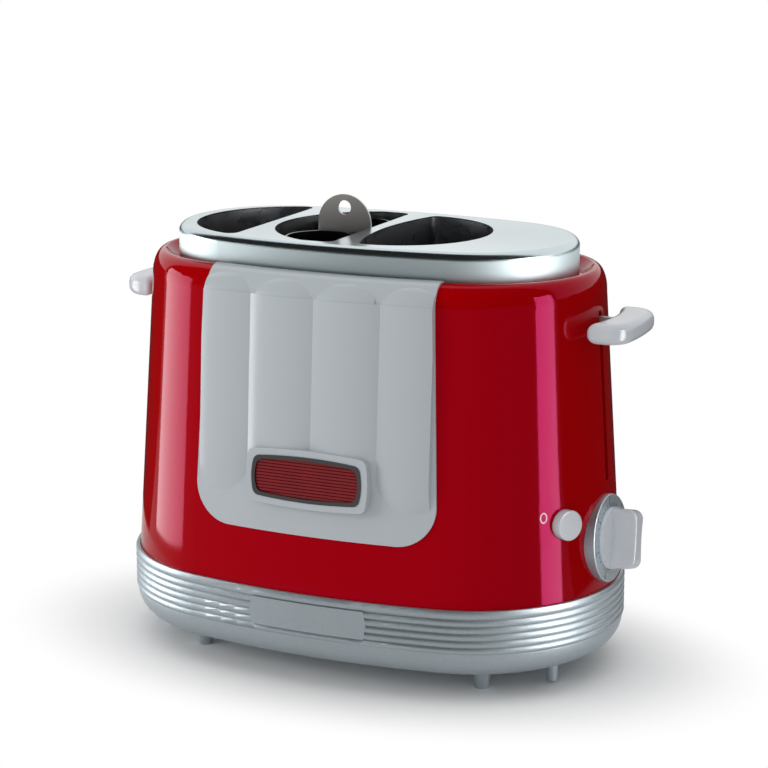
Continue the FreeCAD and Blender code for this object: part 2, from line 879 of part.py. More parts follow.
def carriage_beam():
    """One flat steel part: the beam, an upright arm at each end and the lever stems."""
    stem_end = lever_reach - lever_cover
    left_inner = left_arm_x + arm_width
    right_inner = right_arm_x + arm_width
    corners = [(-stem_end, stem_bottom), (left_arm_x, stem_bottom), (left_arm_x, beam_bottom),
               (right_inner, beam_bottom), (right_inner, stem_bottom), (stem_end, stem_bottom),
               (stem_end, stem_top), (right_arm_x, stem_top), (right_arm_x, beam_top),
               (left_inner, beam_top), (left_inner, stem_top), (-stem_end, stem_top)]
    face = polygon([point(x, z) for x, z in corners])
    beam = face.extrude(point(0, 0, beam_thickness))
    beam.rotate(ORIGIN, X, 90)
    beam.translate(point(0, beam_thickness / 2, 0))
    return beam


def carriage_block():
    block = box((block_start_x, block_start_x + block_length), (-block_half_width, block_half_width),
                (block_bottom, block_top))
    half = beam_thickness / 2
    holes = [box((0, base_half_length), (-half, half), (beam_bottom, beam_top))]
    for side in (-1, 1):
        holes.append(rod(rod_radius + running_gap, point(rod_x, side * rod_y, block_bottom), Z, block_height))
    return block.cut(holes)


def armature():
    return box((rod_x - armature_half, rod_x + armature_half), (-armature_half, armature_half),
               (block_bottom - armature_height, block_bottom))


def return_spring():
    start = point(spring_x, 0, block_top)
    length = bracket_top - sheet - block_top
    outside = rod(spring_radius, start, Z, length)
    return outside.cut(rod(spring_radius - spring_wire, start, Z, length))


def bun_shelf(name):
    """Slotted plate on the beam that carries the bun."""
    face = slot_faces()[name].makeOffset2D(-shelf_margin)
    shelf = prism(face, beam_top, beam_top + sheet)
    bounds = shelf.BoundBox
    middle = (bounds.XMin + bounds.XMax) / 2
    slots = []
    for place in (-2, -1, 1, 2):
        y = place * guard_spacing * 0.6
        slots.append(box((middle - 9, middle + 9), (y - 1.5, y + 1.5), (beam_top, beam_top + sheet)))
    return shelf.cut(slots)


def lever(side, front):
    """Rounded paddle that follows the end of the shell, pushed onto its stem."""
    low = (stem_bottom + stem_top - lever_height) / 2
    high = low + lever_height
    edge_x = lever_reach - lever_bow
    corners = [point(edge_x, lever_rear), point(0, lever_rear)]
    corners += [point(0, -front), point(edge_x, -front)]
    edges = [line(corners[i], corners[i + 1]) for i in range(3)]
    edges.append(arc(corners[3], point(lever_reach, (lever_rear - front) / 2), corners[0]))
    outline = rounded(Part.Face(Part.Wire(edges)), lever_corner)
    clear = shell_inset_at(low - lever_travel) - lever_body_gap
    outline = outline.cut(Part.Face(base_oval(clear))).Faces[0]
    paddle = prism(rounded(outline, lever_inner_corner), low, high)
    rims = [edge for edge in paddle.Edges if edge.BoundBox.ZLength < 0.01]
    paddle = paddle.makeFillet(lever_rim_round, rims)
    half = beam_thickness / 2
    paddle = paddle.cut(box((0, lever_reach - lever_cover), (-half, half), (stem_bottom, stem_top)))
    if side < 0:
        paddle = paddle.mirror(ORIGIN, X)
    return paddle


def basket_well(side):
    """Sausage well: a thin tube with a floor and a ring of heating windows."""
    centre = point(well_x, side * well_y, well_bottom)
    height = well_top - well_bottom
    tube = rod(well_radius, centre, Z, height)
    inside = rod(well_radius - well_sheet, centre + point(0, 0, well_sheet), Z, height)
    tube = tube.cut(inside)
    windows = []
    low = strap_low + strap_height * 2
    high = well_top - strap_height * 4
    for index in range(well_window_count):
        turn = 360.0 * (index + 0.5) / well_window_count
        half = well_window_width / 2
        window = box((0, well_radius + 1), (-half, half), (low, high))
        window.rotate(ORIGIN, Z, turn)
        window.translate(point(centre.x, centre.y, 0))
        windows.append(window)
    return tube.cut(windows)


def basket_tab():
    """Lifting tab and the web under it that straddles the beam and ties both wells."""
    half = tab_sheet / 2
    disc = rod(tab_radius, point(tab_x, half, tab_centre_height), -Y, tab_sheet)
    disc = disc.cut(box((tab_x - tab_radius, tab_x + tab_radius), (-half, half),
                        (tab_centre_height - tab_radius, tab_centre_height)))
    web = box((tab_x - tab_radius, tab_x + tab_radius), (-half, half), (beam_top + saddle_gap, tab_centre_height))
    straps = []
    reach = well_y - well_radius + 2
    for low in (strap_low, well_top - strap_height - 1):
        straps.append(box((well_x - tab_radius / 2, well_x + tab_radius / 2), (-reach, reach),
                          (low, low + strap_height)))
    tab = disc.fuse([web] + straps)
    cuts = [rod(well_radius, point(well_x, side * well_y, well_bottom), Z, well_top - well_bottom)
            for side in (-1, 1)]
    cuts.append(rod(tab_hole_radius, point(tab_x, half, tab_hole_height), -Y, tab_sheet))
    return tab.cut(cuts)


def crumb_tray():
    outer = box((tray_start_x, tray_end_x), (-tray_half_width, tray_half_width),
                (tray_bottom, tray_bottom + tray_height))
    inner = box((tray_start_x + sheet, tray_end_x - sheet), (-tray_half_width + sheet, tray_half_width - sheet),
                (tray_bottom + sheet, tray_bottom + tray_height))
    return outer.cut(inner)


def tray_front():
    """Strip of the base wall that comes out with the tray, scooped for a finger."""
    block = box((tray_start_x, tray_end_x), (tray_half_width, base_half_width),
                (tray_bottom, tray_bottom + tray_height))
    high = base_bottom + base_edge_radius
    centre = rim_inset + base_edge_radius
    half = math.sqrt(0.5) * base_edge_radius
    far = -base_edge_radius * 3
    outside = [((far, high), (rim_inset, high))]
    outside.append(((rim_inset, high), (centre - half, high - half), (centre, base_bottom)))
    outside.append(((centre, base_bottom), (far, base_bottom)))
    outside.append(((far, base_bottom), (far, high)))
    front = block.cut(swept_ring(outside))
    tray_top = tray_bottom + tray_height
    hollow = prism(Part.Face(base_oval(centre + base_wall)), tray_bottom + base_wall, tray_top)
    front = front.cut(hollow.common(box((tray_start_x, tray_end_x),
                                        (tray_half_width + base_wall, base_half_width),
                                        (tray_bottom, tray_top))))
    scoop_x = (tray_start_x + tray_end_x) / 2
    scoop = rod(tray_scoop_radius, point(scoop_x - tray_scoop_half, base_half_width - rim_inset, tray_bottom), X,
                2 * tray_scoop_half)
    return front.cut(scoop)


def cord_gland():
    side, end, end_x, turn = oval_arcs(base_half_length, base_half_width)
    skin = base_half_width - (side - math.sqrt(side ** 2 - gland_x ** 2)) - rim_inset
    start = point(gland_x, skin + gland_proud - gland_length, gland_height)
    body = rod(gland_radius, start, Y, gland_length)
    return body.cut(rod(gland_bore_radius, start, Y, gland_length))


def terminal_block():
    block = box((gland_x - 11, gland_x + 11), (wall_half + sheet, wall_half + sheet + 9),
                (deck_top, deck_top + 12))
    screws = []
    for index in range(3):
        x = gland_x + (index - 1) * 7
        screws.append(rod(1.8, point(x, wall_half + sheet + 4.5, deck_top + 9), Z, 3))
    return block.cut(screws)


def all_parts():
    parts = {
        "outer_shell": outer_shell(),
        "top_cap": top_cap(),
        "front_panel": front_panel(),
        "badge_frame": badge_frame(),
        "badge_lens": badge_lens(),
        "base_housing": base_housing(),
        "name_plate": name_plate(),
        "cord_pegs": cord_pegs(),
        "base_screws": base_screws(),
        "chassis_deck": chassis_deck(),
        "chassis_front": chassis_plate(-1),
        "chassis_rear": chassis_plate(1),
        "bay_wall": bay_wall(),
        "liner_left": liner("left", -1),
        "liner_right": liner("right", 1),
        "heater_left_front": heater(heater_centre_left, -1),
        "heater_left_rear": heater(heater_centre_left, 1),
        "heater_right_front": heater(heater_centre_right, -1),
        "heater_right_rear": heater(heater_centre_right, 1),
        "guard_left": guard(heater_centre_left - guard_setback),
        "guard_right": guard(heater_centre_right + guard_setback),
        "rod_bracket": rod_bracket(),
        "guide_rod_front": guide_rod(-1),
        "guide_rod_rear": guide_rod(1),
        "electromagnet": electromagnet(),
        "control_board": control_board(),
        "timer_potentiometer": timer_potentiometer(),
        "timer_shaft": timer_shaft(),
        "dial_bezel": dial_bezel(),
        "timer_knob": timer_knob(),
        "cancel_button": cancel_button(),
        "cancel_switch": cancel_switch(),
        "button_spring": button_spring(),
        "carriage_beam": carriage_beam(),
        "carriage_block": carriage_block(),
        "armature": armature(),
        "return_spring": return_spring(),
        "bun_shelf_left": bun_shelf("left"),
        "bun_shelf_right": bun_shelf("right"),
        "lever_left": lever(-1, lever_front_left),
        "lever_right": lever(1, lever_front_right),
        "basket_well_front": basket_well(-1),
        "basket_well_rear": basket_well(1),
        "basket_tab": basket_tab(),
        "crumb_tray": crumb_tray(),
        "tray_front": tray_front(),
        "cord_gland": cord_gland(),
        "terminal_block": terminal_block(),
    }
    for name in ("left", "centre", "right"):
        parts["slot_collar_" + name] = slot_collar(name)
    for x, y in corner_places(foot_x, foot_y):
        ends = ("rear" if y > 0 else "front", "right" if x > 0 else "left")
        parts["foot_" + "_".join(ends)] = foot(x, y)
    return parts


os.makedirs("parts", exist_ok=True)
for node, shape in all_parts().items():
    shape.exportStep("parts/" + node + ".step")
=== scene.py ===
import json
import math

import bmesh
import bpy
from mathutils import Matrix, Vector


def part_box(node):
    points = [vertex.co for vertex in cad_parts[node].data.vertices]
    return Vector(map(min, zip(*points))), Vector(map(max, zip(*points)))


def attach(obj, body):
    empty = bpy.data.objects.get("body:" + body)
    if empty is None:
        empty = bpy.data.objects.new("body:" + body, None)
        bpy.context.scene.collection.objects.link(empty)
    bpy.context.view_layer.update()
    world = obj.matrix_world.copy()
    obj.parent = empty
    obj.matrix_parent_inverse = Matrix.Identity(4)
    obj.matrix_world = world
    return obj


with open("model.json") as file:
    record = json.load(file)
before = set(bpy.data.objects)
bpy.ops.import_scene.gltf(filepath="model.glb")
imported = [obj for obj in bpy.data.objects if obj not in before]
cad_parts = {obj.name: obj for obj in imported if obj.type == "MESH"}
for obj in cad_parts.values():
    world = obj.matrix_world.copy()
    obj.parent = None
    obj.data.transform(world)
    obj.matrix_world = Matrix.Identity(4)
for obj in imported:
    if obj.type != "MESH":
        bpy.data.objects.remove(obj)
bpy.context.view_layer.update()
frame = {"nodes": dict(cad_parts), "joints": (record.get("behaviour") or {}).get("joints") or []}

# Base ring, its plate, feet and cord pegs
# Moulded in ABS and sprayed with a silver metallic lacquer. The flakes in the lacquer give a
# soft blue-grey sheen that turns bright along each rib and dark in the grooves between them.


def linear(code):
    """Turns an sRGB hex colour into linear red, green and blue with an alpha of 1."""
    values = [int(code[start:start + 2], 16) / 255 for start in (1, 3, 5)]
    return [v / 12.92 if v <= 0.04045 else ((v + 0.055) / 1.055) ** 2.4 for v in values] + [1.0]


def add_node(tree, kind, inputs, **settings):
    """Adds a shader node, gives it its settings, and fills or links its inputs."""
    node = tree.nodes.new(kind)
    for name, value in settings.items():
        setattr(node, name, value)
    for key, value in inputs.items():
        if isinstance(value, bpy.types.NodeSocket):
            tree.links.new(value, node.inputs[key])
        else:
            node.inputs[key].default_value = value
    return node


def new_material(name):
    """Makes a material with an empty node tree, and gives both."""
    material = bpy.data.materials.new(name)
    material.use_nodes = True
    material.node_tree.nodes.clear()
    return material, material.node_tree


def finish_nodes(material, *nodes):
    """Gives CAD nodes a material in place of the one they came with."""
    for node in nodes:
        for slot in frame["nodes"][node].material_slots:
            slot.material = material


silver_lacquer, tree = new_material("silver_metallic_lacquer")
place = add_node(tree, "ShaderNodeTexCoord", {})
# Flakes are about 0.05 mm; drawn at 0.5 mm so that they show at all
flakes = add_node(tree, "ShaderNodeTexVoronoi", {"Vector": place.outputs["Object"], "Scale": 1 / 0.0005})
tone = add_node(tree, "ShaderNodeMix", {"Factor": flakes.outputs["Color"], 6: linear("#A9B3B9"),
                                        7: linear("#B5BFC4")}, data_type="RGBA")
coating = add_node(tree, "ShaderNodeBsdfPrincipled", {"Base Color": tone.outputs[2], "Metallic": 0.8,
                                                      "Roughness": 0.46, "Coat Weight": 0.1,
                                                      "Coat Roughness": 0.3})
add_node(tree, "ShaderNodeOutputMaterial", {"Surface": coating.outputs["BSDF"]})
finish_nodes(silver_lacquer, "base_housing", "name_plate", "tray_front", "cord_pegs", "foot_front_left",
             "foot_front_right", "foot_rear_left", "foot_rear_right")

# Chassis: deck, plates, bay wall, rod bracket, screws, carriage, bun shelves and crumb tray
# Pressed from zinc-plated mild steel sheet. The plating is dull silver with a faint cloudy grain
# and picks up fine rolling lines.

zinc_sheet, tree = new_material("zinc_plated_sheet")
place = add_node(tree, "ShaderNodeTexCoord", {})
# Zinc grains of about 3 mm
clouds = add_node(tree, "ShaderNodeTexNoise", {"Vector": place.outputs["Object"], "Scale": 1 / 0.003,
                                               "Detail": 3.0})
tone = add_node(tree, "ShaderNodeMix", {"Factor": clouds.outputs["Fac"], 6: linear("#A6A9AB"),
                                        7: linear("#BEC1C3")}, data_type="RGBA")
sheet_metal = add_node(tree, "ShaderNodeBsdfPrincipled", {"Base Color": tone.outputs[2], "Metallic": 1.0,
                                                          "Roughness": 0.38})
add_node(tree, "ShaderNodeOutputMaterial", {"Surface": sheet_metal.outputs["BSDF"]})
finish_nodes(zinc_sheet, "chassis_deck", "chassis_front", "chassis_rear", "bay_wall", "rod_bracket",
             "base_screws", "carriage_beam", "armature", "bun_shelf_left", "bun_shelf_right", "crumb_tray")

# Bun liners, guards and guide rods
# Rolled and drawn from bright stainless steel with its mill finish, so they mirror the dark of
# the slots and the light above with only a slight blur.

bright_strip, tree = new_material("bright_stainless_strip")
place = add_node(tree, "ShaderNodeTexCoord", {})
stretch = add_node(tree, "ShaderNodeMapping", {"Vector": place.outputs["Object"],
                                               "Scale": (1.0, 1.0, 0.05)})
# Rolling lines 0.6 mm apart
lines = add_node(tree, "ShaderNodeTexNoise", {"Vector": stretch.outputs["Vector"], "Scale": 1 / 0.0006,
                                              "Detail": 2.0})
blur = add_node(tree, "ShaderNodeMapRange", {"Value": lines.outputs["Fac"], "To Min": 0.14,
                                             "To Max": 0.24})
strip = add_node(tree, "ShaderNodeBsdfPrincipled", {"Base Color": linear("#B9BCC0"), "Metallic": 1.0,
                                                    "Roughness": blur.outputs["Result"]})
add_node(tree, "ShaderNodeOutputMaterial", {"Surface": strip.outputs["BSDF"]})
finish_nodes(bright_strip, "liner_left", "liner_right", "guard_left", "guard_right", "guide_rod_front",
             "guide_rod_rear")

# Heaters
# Sheets of pressed mica wound with flat resistance ribbon, hung between the guards and the wells.
# Mica is a flecked straw colour; the ribbon has the dull grey-brown of heated nickel-chrome.

mica, tree = new_material("pressed_mica_sheet")
place = add_node(tree, "ShaderNodeTexCoord", {})
# Mica flakes of about 2 mm
flecks = add_node(tree, "ShaderNodeTexVoronoi", {"Vector": place.outputs["Object"], "Scale": 1 / 0.002})
tone = add_node(tree, "ShaderNodeMix", {"Factor": flecks.outputs["Color"], 6: linear("#A8957A"),
                                        7: linear("#C2B293")}, data_type="RGBA")
board = add_node(tree, "ShaderNodeBsdfPrincipled", {"Base Color": tone.outputs[2], "Roughness": 0.45})
add_node(tree, "ShaderNodeOutputMaterial", {"Surface": board.outputs["BSDF"]})
finish_nodes(mica, "heater_left_front", "heater_left_rear", "heater_right_front", "heater_right_rear")

ribbon_metal, tree = new_material("nickel_chrome_ribbon")
place = add_node(tree, "ShaderNodeTexCoord", {})
# Heat stain in patches of about 8 mm
stain = add_node(tree, "ShaderNodeTexNoise", {"Vector": place.outputs["Object"], "Scale": 1 / 0.008})
tone = add_node(tree, "ShaderNodeMix", {"Factor": stain.outputs["Fac"], 6: linear("#6E6259"),
                                        7: linear("#8C857E")}, data_type="RGBA")
ribbon = add_node(tree, "ShaderNodeBsdfPrincipled", {"Base Color": tone.outputs[2], "Metallic": 1.0,
                                                     "Roughness": 0.42})
add_node(tree, "ShaderNodeOutputMaterial", {"Surface": ribbon.outputs["BSDF"]})


def add_piece(name, bm, material, body):
    """Makes an object of a bmesh, with its finish and the body it rides on."""
    mesh = bpy.data.meshes.new(name)
    bm.to_mesh(mesh)
    bm.free()
    piece = bpy.data.objects.new(name, mesh)
    bpy.context.scene.collection.objects.link(piece)
    mesh.materials.append(material)
    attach(piece, body)


ribbon_turns = 20
ribbon_width = 0.0012
ribbon_thickness = 0.00015
# Mica left bare at the foot, head and sides of each sheet
bare_foot = 0.006
bare_head = 0.004
bare_side = 0.002
for sheet in ("left_front", "left_rear", "right_front", "right_rear"):
    low, high = (Vector(corner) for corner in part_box("heater_" + sheet))
    low.z += bare_foot
    high.z -= bare_head
    pitch = (high.z - low.z) / ribbon_turns
    centre = (low + high) / 2
    size = high - low
    band_size = (size.x + 2 * ribbon_thickness, size.y - 2 * bare_side, ribbon_width)
    bm = bmesh.new()
    for turn in range(ribbon_turns):
        band = bmesh.ops.create_cube(bm, size=1.0)["verts"]
        bmesh.ops.scale(bm, vec=band_size, verts=band)
        middle = Vector((centre.x, centre.y, low.z + (turn + 0.5) * pitch))
        bmesh.ops.translate(bm, vec=middle, verts=band)
    add_piece("winding_" + sheet, bm, ribbon_metal, "housing")

# Springs and timer shaft
# Coiled from hard-drawn steel wire, and shown as plain tubes. The return spring hangs from the rod
# bracket and pulls the carriage up; the small one stands round the stem of the cancel button. The
# shaft is turned from the same bright steel.

spring_wire, tree = new_material("hard_drawn_spring_wire")
place = add_node(tree, "ShaderNodeTexCoord", {})
# Drawing marks about 1 mm long
marks = add_node(tree, "ShaderNodeTexNoise", {"Vector": place.outputs["Object"], "Scale": 1 / 0.001})
blur = add_node(tree, "ShaderNodeMapRange", {"Value": marks.outputs["Fac"], "To Min": 0.25,
                                             "To Max": 0.38})
wire_metal = add_node(tree, "ShaderNodeBsdfPrincipled", {"Base Color": linear("#8E9093"), "Metallic": 1.0,
                                                         "Roughness": blur.outputs["Result"]})
add_node(tree, "ShaderNodeOutputMaterial", {"Surface": wire_metal.outputs["BSDF"]})
finish_nodes(spring_wire, "timer_shaft", "return_spring", "button_spring")

# Magnet, board, timer, switch, terminal block and cord gland
# Bought-in parts: a coil of enamelled copper, a green glass-epoxy board, and mouldings in black
# nylon with the slight grain of their tools.

black_nylon, tree = new_material("black_nylon_moulding")
place = add_node(tree, "ShaderNodeTexCoord", {})
# Tool grain of about 0.4 mm
grain = add_node(tree, "ShaderNodeTexNoise", {"Vector": place.outputs["Object"], "Scale": 1 / 0.0004})
relief = add_node(tree, "ShaderNodeBump", {"Height": grain.outputs["Fac"], "Strength": 0.15,
                                           "Distance": 0.0001})
nylon = add_node(tree, "ShaderNodeBsdfPrincipled", {"Base Color": linear("#17181A"), "Roughness": 0.45,
                                                    "Normal": relief.outputs["Normal"]})
add_node(tree, "ShaderNodeOutputMaterial", {"Surface": nylon.outputs["BSDF"]})
finish_nodes(black_nylon, "timer_potentiometer", "cancel_switch", "terminal_block", "cord_gland",
             "carriage_block")

copper_coil, tree = new_material("enamelled_copper_coil")
place = add_node(tree, "ShaderNodeTexCoord", {})
stretch = add_node(tree, "ShaderNodeMapping", {"Vector": place.outputs["Object"],
                                               "Scale": (0.02, 0.02, 1.0)})
# Turns of wire 0.4 mm apart; a band of the wave is 0.31 wide at a scale of 1
turns = add_node(tree, "ShaderNodeTexWave", {"Vector": stretch.outputs["Vector"], "Scale": 0.31 / 0.0004},
                 bands_direction="Z")
relief = add_node(tree, "ShaderNodeBump", {"Height": turns.outputs["Fac"], "Strength": 0.6,
                                           "Distance": 0.0002})
coil = add_node(tree, "ShaderNodeBsdfPrincipled", {"Base Color": linear("#B06A3C"), "Metallic": 1.0,
                                                   "Roughness": 0.3, "Normal": relief.outputs["Normal"]})
add_node(tree, "ShaderNodeOutputMaterial", {"Surface": coil.outputs["BSDF"]})
finish_nodes(copper_coil, "electromagnet")

circuit_laminate, tree = new_material("glass_epoxy_board")
place = add_node(tree, "ShaderNodeTexCoord", {})
# Glass weave of 0.8 mm; a brick is 0.5 wide at a scale of 1
weave = add_node(tree, "ShaderNodeTexBrick", {"Vector": place.outputs["Object"], "Scale": 1 / 0.0016,
                                              "Color1": linear("#1E5A32"), "Color2": linear("#236439"),
                                              "Mortar": linear("#1A4E2B")})
laminate = add_node(tree, "ShaderNodeBsdfPrincipled", {"Base Color": weave.outputs["Color"],
                                                       "Roughness": 0.35})
add_node(tree, "ShaderNodeOutputMaterial", {"Surface": laminate.outputs["BSDF"]})
finish_nodes(circuit_laminate, "control_board")

# Shell
# One deep moulding in self-coloured red ABS with a polished tool finish, so it mirrors lamps as
# crisp upright strips. A very faint waviness keeps the edges of the strips from being ruled lines.

red_abs, tree = new_material("polished_red_abs")
place = add_node(tree, "ShaderNodeTexCoord", {})
# Sink marks and flow waves 25 mm apart
waves = add_node(tree, "ShaderNodeTexNoise", {"Vector": place.outputs["Object"], "Scale": 1 / 0.025})
relief = add_node(tree, "ShaderNodeBump", {"Height": waves.outputs["Fac"], "Strength": 0.05,
                                           "Distance": 0.0005})
gloss_red = add_node(tree, "ShaderNodeBsdfPrincipled", {"Base Color": linear("#A60105"), "Roughness": 0.07,
                                                        "Specular IOR Level": 0.35,
                                                        "Specular Tint": linear("#FF3CA0"),
                                                        "Normal": relief.outputs["Normal"]})
add_node(tree, "ShaderNodeOutputMaterial", {"Surface": gloss_red.outputs["BSDF"]})
finish_nodes(red_abs, "outer_shell")

# Front panel
# Moulded in white ABS from a tool with a fine satin polish: cool white, soft highlights along
# the flutes, and no visible grain.

white_abs, tree = new_material("satin_white_abs")
place = add_node(tree, "ShaderNodeTexCoord", {})
# Flow waves 20 mm apart
waves = add_node(tree, "ShaderNodeTexNoise", {"Vector": place.outputs["Object"], "Scale": 1 / 0.02})
blur = add_node(tree, "ShaderNodeMapRange", {"Value": waves.outputs["Fac"], "To Min": 0.2,
                                             "To Max": 0.26})
satin = add_node(tree, "ShaderNodeBsdfPrincipled", {"Base Color": linear("#B9C0C4"),
                                                    "Roughness": blur.outputs["Result"]})
add_node(tree, "ShaderNodeOutputMaterial", {"Surface": satin.outputs["BSDF"]})
finish_nodes(white_abs, "front_panel")

# Lever paddles, timer knob and cancel button
# Moulded in the same white ABS, but from polished tools, so they are glossier than the panel. Their
# white is painted brighter than the panel's: painted light for the stronger light they catch from
# the right and behind.

white_abs_painted_lit, tree = new_material("polished_white_abs_painted_light")
place = add_node(tree, "ShaderNodeTexCoord", {})
# Flow waves 12 mm apart
waves = add_node(tree, "ShaderNodeTexNoise", {"Vector": place.outputs["Object"], "Scale": 1 / 0.012})
blur = add_node(tree, "ShaderNodeMapRange", {"Value": waves.outputs["Fac"], "To Min": 0.14,
                                             "To Max": 0.2})
# Whiter than the panel's colour: painted light for the stronger light on these parts
gloss = add_node(tree, "ShaderNodeBsdfPrincipled", {"Base Color": linear("#D5DAE0"),
                                                    "Roughness": blur.outputs["Result"]})
add_node(tree, "ShaderNodeOutputMaterial", {"Surface": gloss.outputs["BSDF"]})
finish_nodes(white_abs_painted_lit, "lever_left", "lever_right", "timer_knob", "cancel_button")

# Badge
# A frame moulded in ABS and plated in dark chrome, with a clear red acrylic tablet behind it.
# The tablet has fine level beads that break the light into thin bright and dark red lines.

dark_chrome, tree = new_material("dark_chrome_plate")
place = add_node(tree, "ShaderNodeTexCoord", {})
# Patches of haze about 4 mm wide
haze = add_node(tree, "ShaderNodeTexNoise", {"Vector": place.outputs["Object"], "Scale": 1 / 0.004})
blur = add_node(tree, "ShaderNodeMapRange", {"Value": haze.outputs["Fac"], "To Min": 0.12,
                                             "To Max": 0.2})
plate = add_node(tree, "ShaderNodeBsdfPrincipled", {"Base Color": linear("#6C696B"), "Metallic": 1.0,
                                                    "Roughness": blur.outputs["Result"]})
add_node(tree, "ShaderNodeOutputMaterial", {"Surface": plate.outputs["BSDF"]})
finish_nodes(dark_chrome, "badge_frame")

red_acrylic, tree = new_material("clear_red_acrylic")
place = add_node(tree, "ShaderNodeTexCoord", {})
# Deeper and paler clouds of red about 10 mm wide
depth = add_node(tree, "ShaderNodeTexNoise", {"Vector": place.outputs["Object"], "Scale": 1 / 0.01})
tone = add_node(tree, "ShaderNodeMix", {"Factor": depth.outputs["Fac"], 6: linear("#660008"),
                                        7: linear("#880712")}, data_type="RGBA")
acrylic = add_node(tree, "ShaderNodeBsdfPrincipled", {"Base Color": tone.outputs[2], "Roughness": 0.1,
                                                      "IOR": 1.49, "Coat Weight": 0.5})
add_node(tree, "ShaderNodeOutputMaterial", {"Surface": acrylic.outputs["BSDF"]})
finish_nodes(red_acrylic, "badge_lens")

# Collars in the openings
# Folded from stainless strip and glass-blasted, so they catch the light from above as a soft grey
# sheen inside each opening.

blasted_strip, tree = new_material("blasted_stainless_collar")
place = add_node(tree, "ShaderNodeTexCoord", {})
# Patches of heavier and lighter blasting about 12 mm wide
patches = add_node(tree, "ShaderNodeTexNoise", {"Vector": place.outputs["Object"], "Scale": 1 / 0.012})
blur = add_node(tree, "ShaderNodeMapRange", {"Value": patches.outputs["Fac"], "To Min": 0.22,
                                             "To Max": 0.36})
blasted = add_node(tree, "ShaderNodeBsdfPrincipled", {"Base Color": linear("#BDBFC2"), "Metallic": 1.0,
                                                      "Roughness": blur.outputs["Result"]})
add_node(tree, "ShaderNodeOutputMaterial", {"Surface": blasted.outputs["BSDF"]})
finish_nodes(blasted_strip, "slot_collar_left", "slot_collar_centre", "slot_collar_right")

# Steel cap
# Deep-drawn from stainless sheet and brushed round its band; the flat top has a finer satin.
# The brushing runs level, so it draws each reflection out upwards into soft light and dark.

brushed_steel, tree = new_material("brushed_stainless_cap")
place = add_node(tree, "ShaderNodeTexCoord", {})
stretch = add_node(tree, "ShaderNodeMapping", {"Vector": place.outputs["Object"],
                                               "Scale": (0.02, 0.02, 1.0)})
# Brush lines 0.3 mm apart
lines = add_node(tree, "ShaderNodeTexNoise", {"Vector": stretch.outputs["Vector"], "Scale": 1 / 0.0003,
                                              "Detail": 2.0})
relief = add_node(tree, "ShaderNodeBump", {"Height": lines.outputs["Fac"], "Strength": 0.1,
                                           "Distance": 0.0001})
# The band is brushed; the rolled edge above it and the flat top are finer
cap_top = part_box("top_cap")[1][2]
brushed_to = cap_top - 0.0049
finer_from = cap_top - 0.0029
height = add_node(tree, "ShaderNodeSeparateXYZ", {"Vector": place.outputs["Object"]})
blur = add_node(tree, "ShaderNodeMapRange", {"Value": height.outputs["Z"], "From Min": brushed_to,
                                             "From Max": finer_from, "To Min": 0.5, "To Max": 0.2})
grain_way = add_node(tree, "ShaderNodeTangent", {}, direction_type="RADIAL", axis="Z")
steel = add_node(tree, "ShaderNodeBsdfPrincipled", {"Base Color": linear("#CCD9DC"), "Metallic": 1.0,
                                                    "Roughness": blur.outputs["Result"], "Anisotropic": 0.7,
                                                    "Tangent": grain_way.outputs["Tangent"],
                                                    "Normal": relief.outputs["Normal"]})
add_node(tree, "ShaderNodeOutputMaterial", {"Surface": steel.outputs["BSDF"]})
finish_nodes(brushed_steel, "top_cap")

# Sausage basket
# Two rolled wells of bright stainless steel, their grey painted darker as painted shade for the dark
# they mirror in the openings, and a lifting tab blanked from stainless sheet and tumbled, which
# leaves an even satin without direction.

wells_painted_shade, tree = new_material("stainless_wells_painted_shade")
place = add_node(tree, "ShaderNodeTexCoord", {})
# Tone varies at random in patches of about 10 mm
stain = add_node(tree, "ShaderNodeTexNoise", {"Vector": place.outputs["Object"], "Scale": 1 / 0.01})
# Both greys are darker than the steel's own colour: painted shade for the dark the wells mirror
tone = add_node(tree, "ShaderNodeMix", {"Factor": stain.outputs["Fac"], 6: linear("#77787E"),
                                        7: linear("#8E8F94")}, data_type="RGBA")
wells_shaded_bsdf = add_node(tree, "ShaderNodeBsdfPrincipled", {"Base Color": tone.outputs[2], "Metallic": 1.0,
                                                     "Roughness": 0.16})
add_node(tree, "ShaderNodeOutputMaterial", {"Surface": wells_shaded_bsdf.outputs["BSDF"]})
finish_nodes(wells_painted_shade, "basket_well_front", "basket_well_rear")

tumbled_steel, tree = new_material("tumbled_stainless")
place = add_node(tree, "ShaderNodeTexCoord", {})
# Tumbling marks of about 0.5 mm
pits = add_node(tree, "ShaderNodeTexNoise", {"Vector": place.outputs["Object"], "Scale": 1 / 0.0005})
blur = add_node(tree, "ShaderNodeMapRange", {"Value": pits.outputs["Fac"], "To Min": 0.4,
                                             "To Max": 0.5})
tumbled = add_node(tree, "ShaderNodeBsdfPrincipled", {"Base Color": linear("#DAD7D2"), "Metallic": 1.0,
                                                      "Roughness": blur.outputs["Result"]})
add_node(tree, "ShaderNodeOutputMaterial", {"Surface": tumbled.outputs["BSDF"]})
finish_nodes(tumbled_steel, "basket_tab")

# Dial bezel and its scale
# The bezel is moulded in ABS and lacquered like the base. Its scale is pad-printed in dark grey
# ink: a tick every 10 degrees, a longer one every 50 degrees, and plain numbers from 0 to 6.

finish_nodes(silver_lacquer, "dial_bezel")

dark_ink, tree = new_material("dark_grey_pad_ink")
place = add_node(tree, "ShaderNodeTexCoord", {})
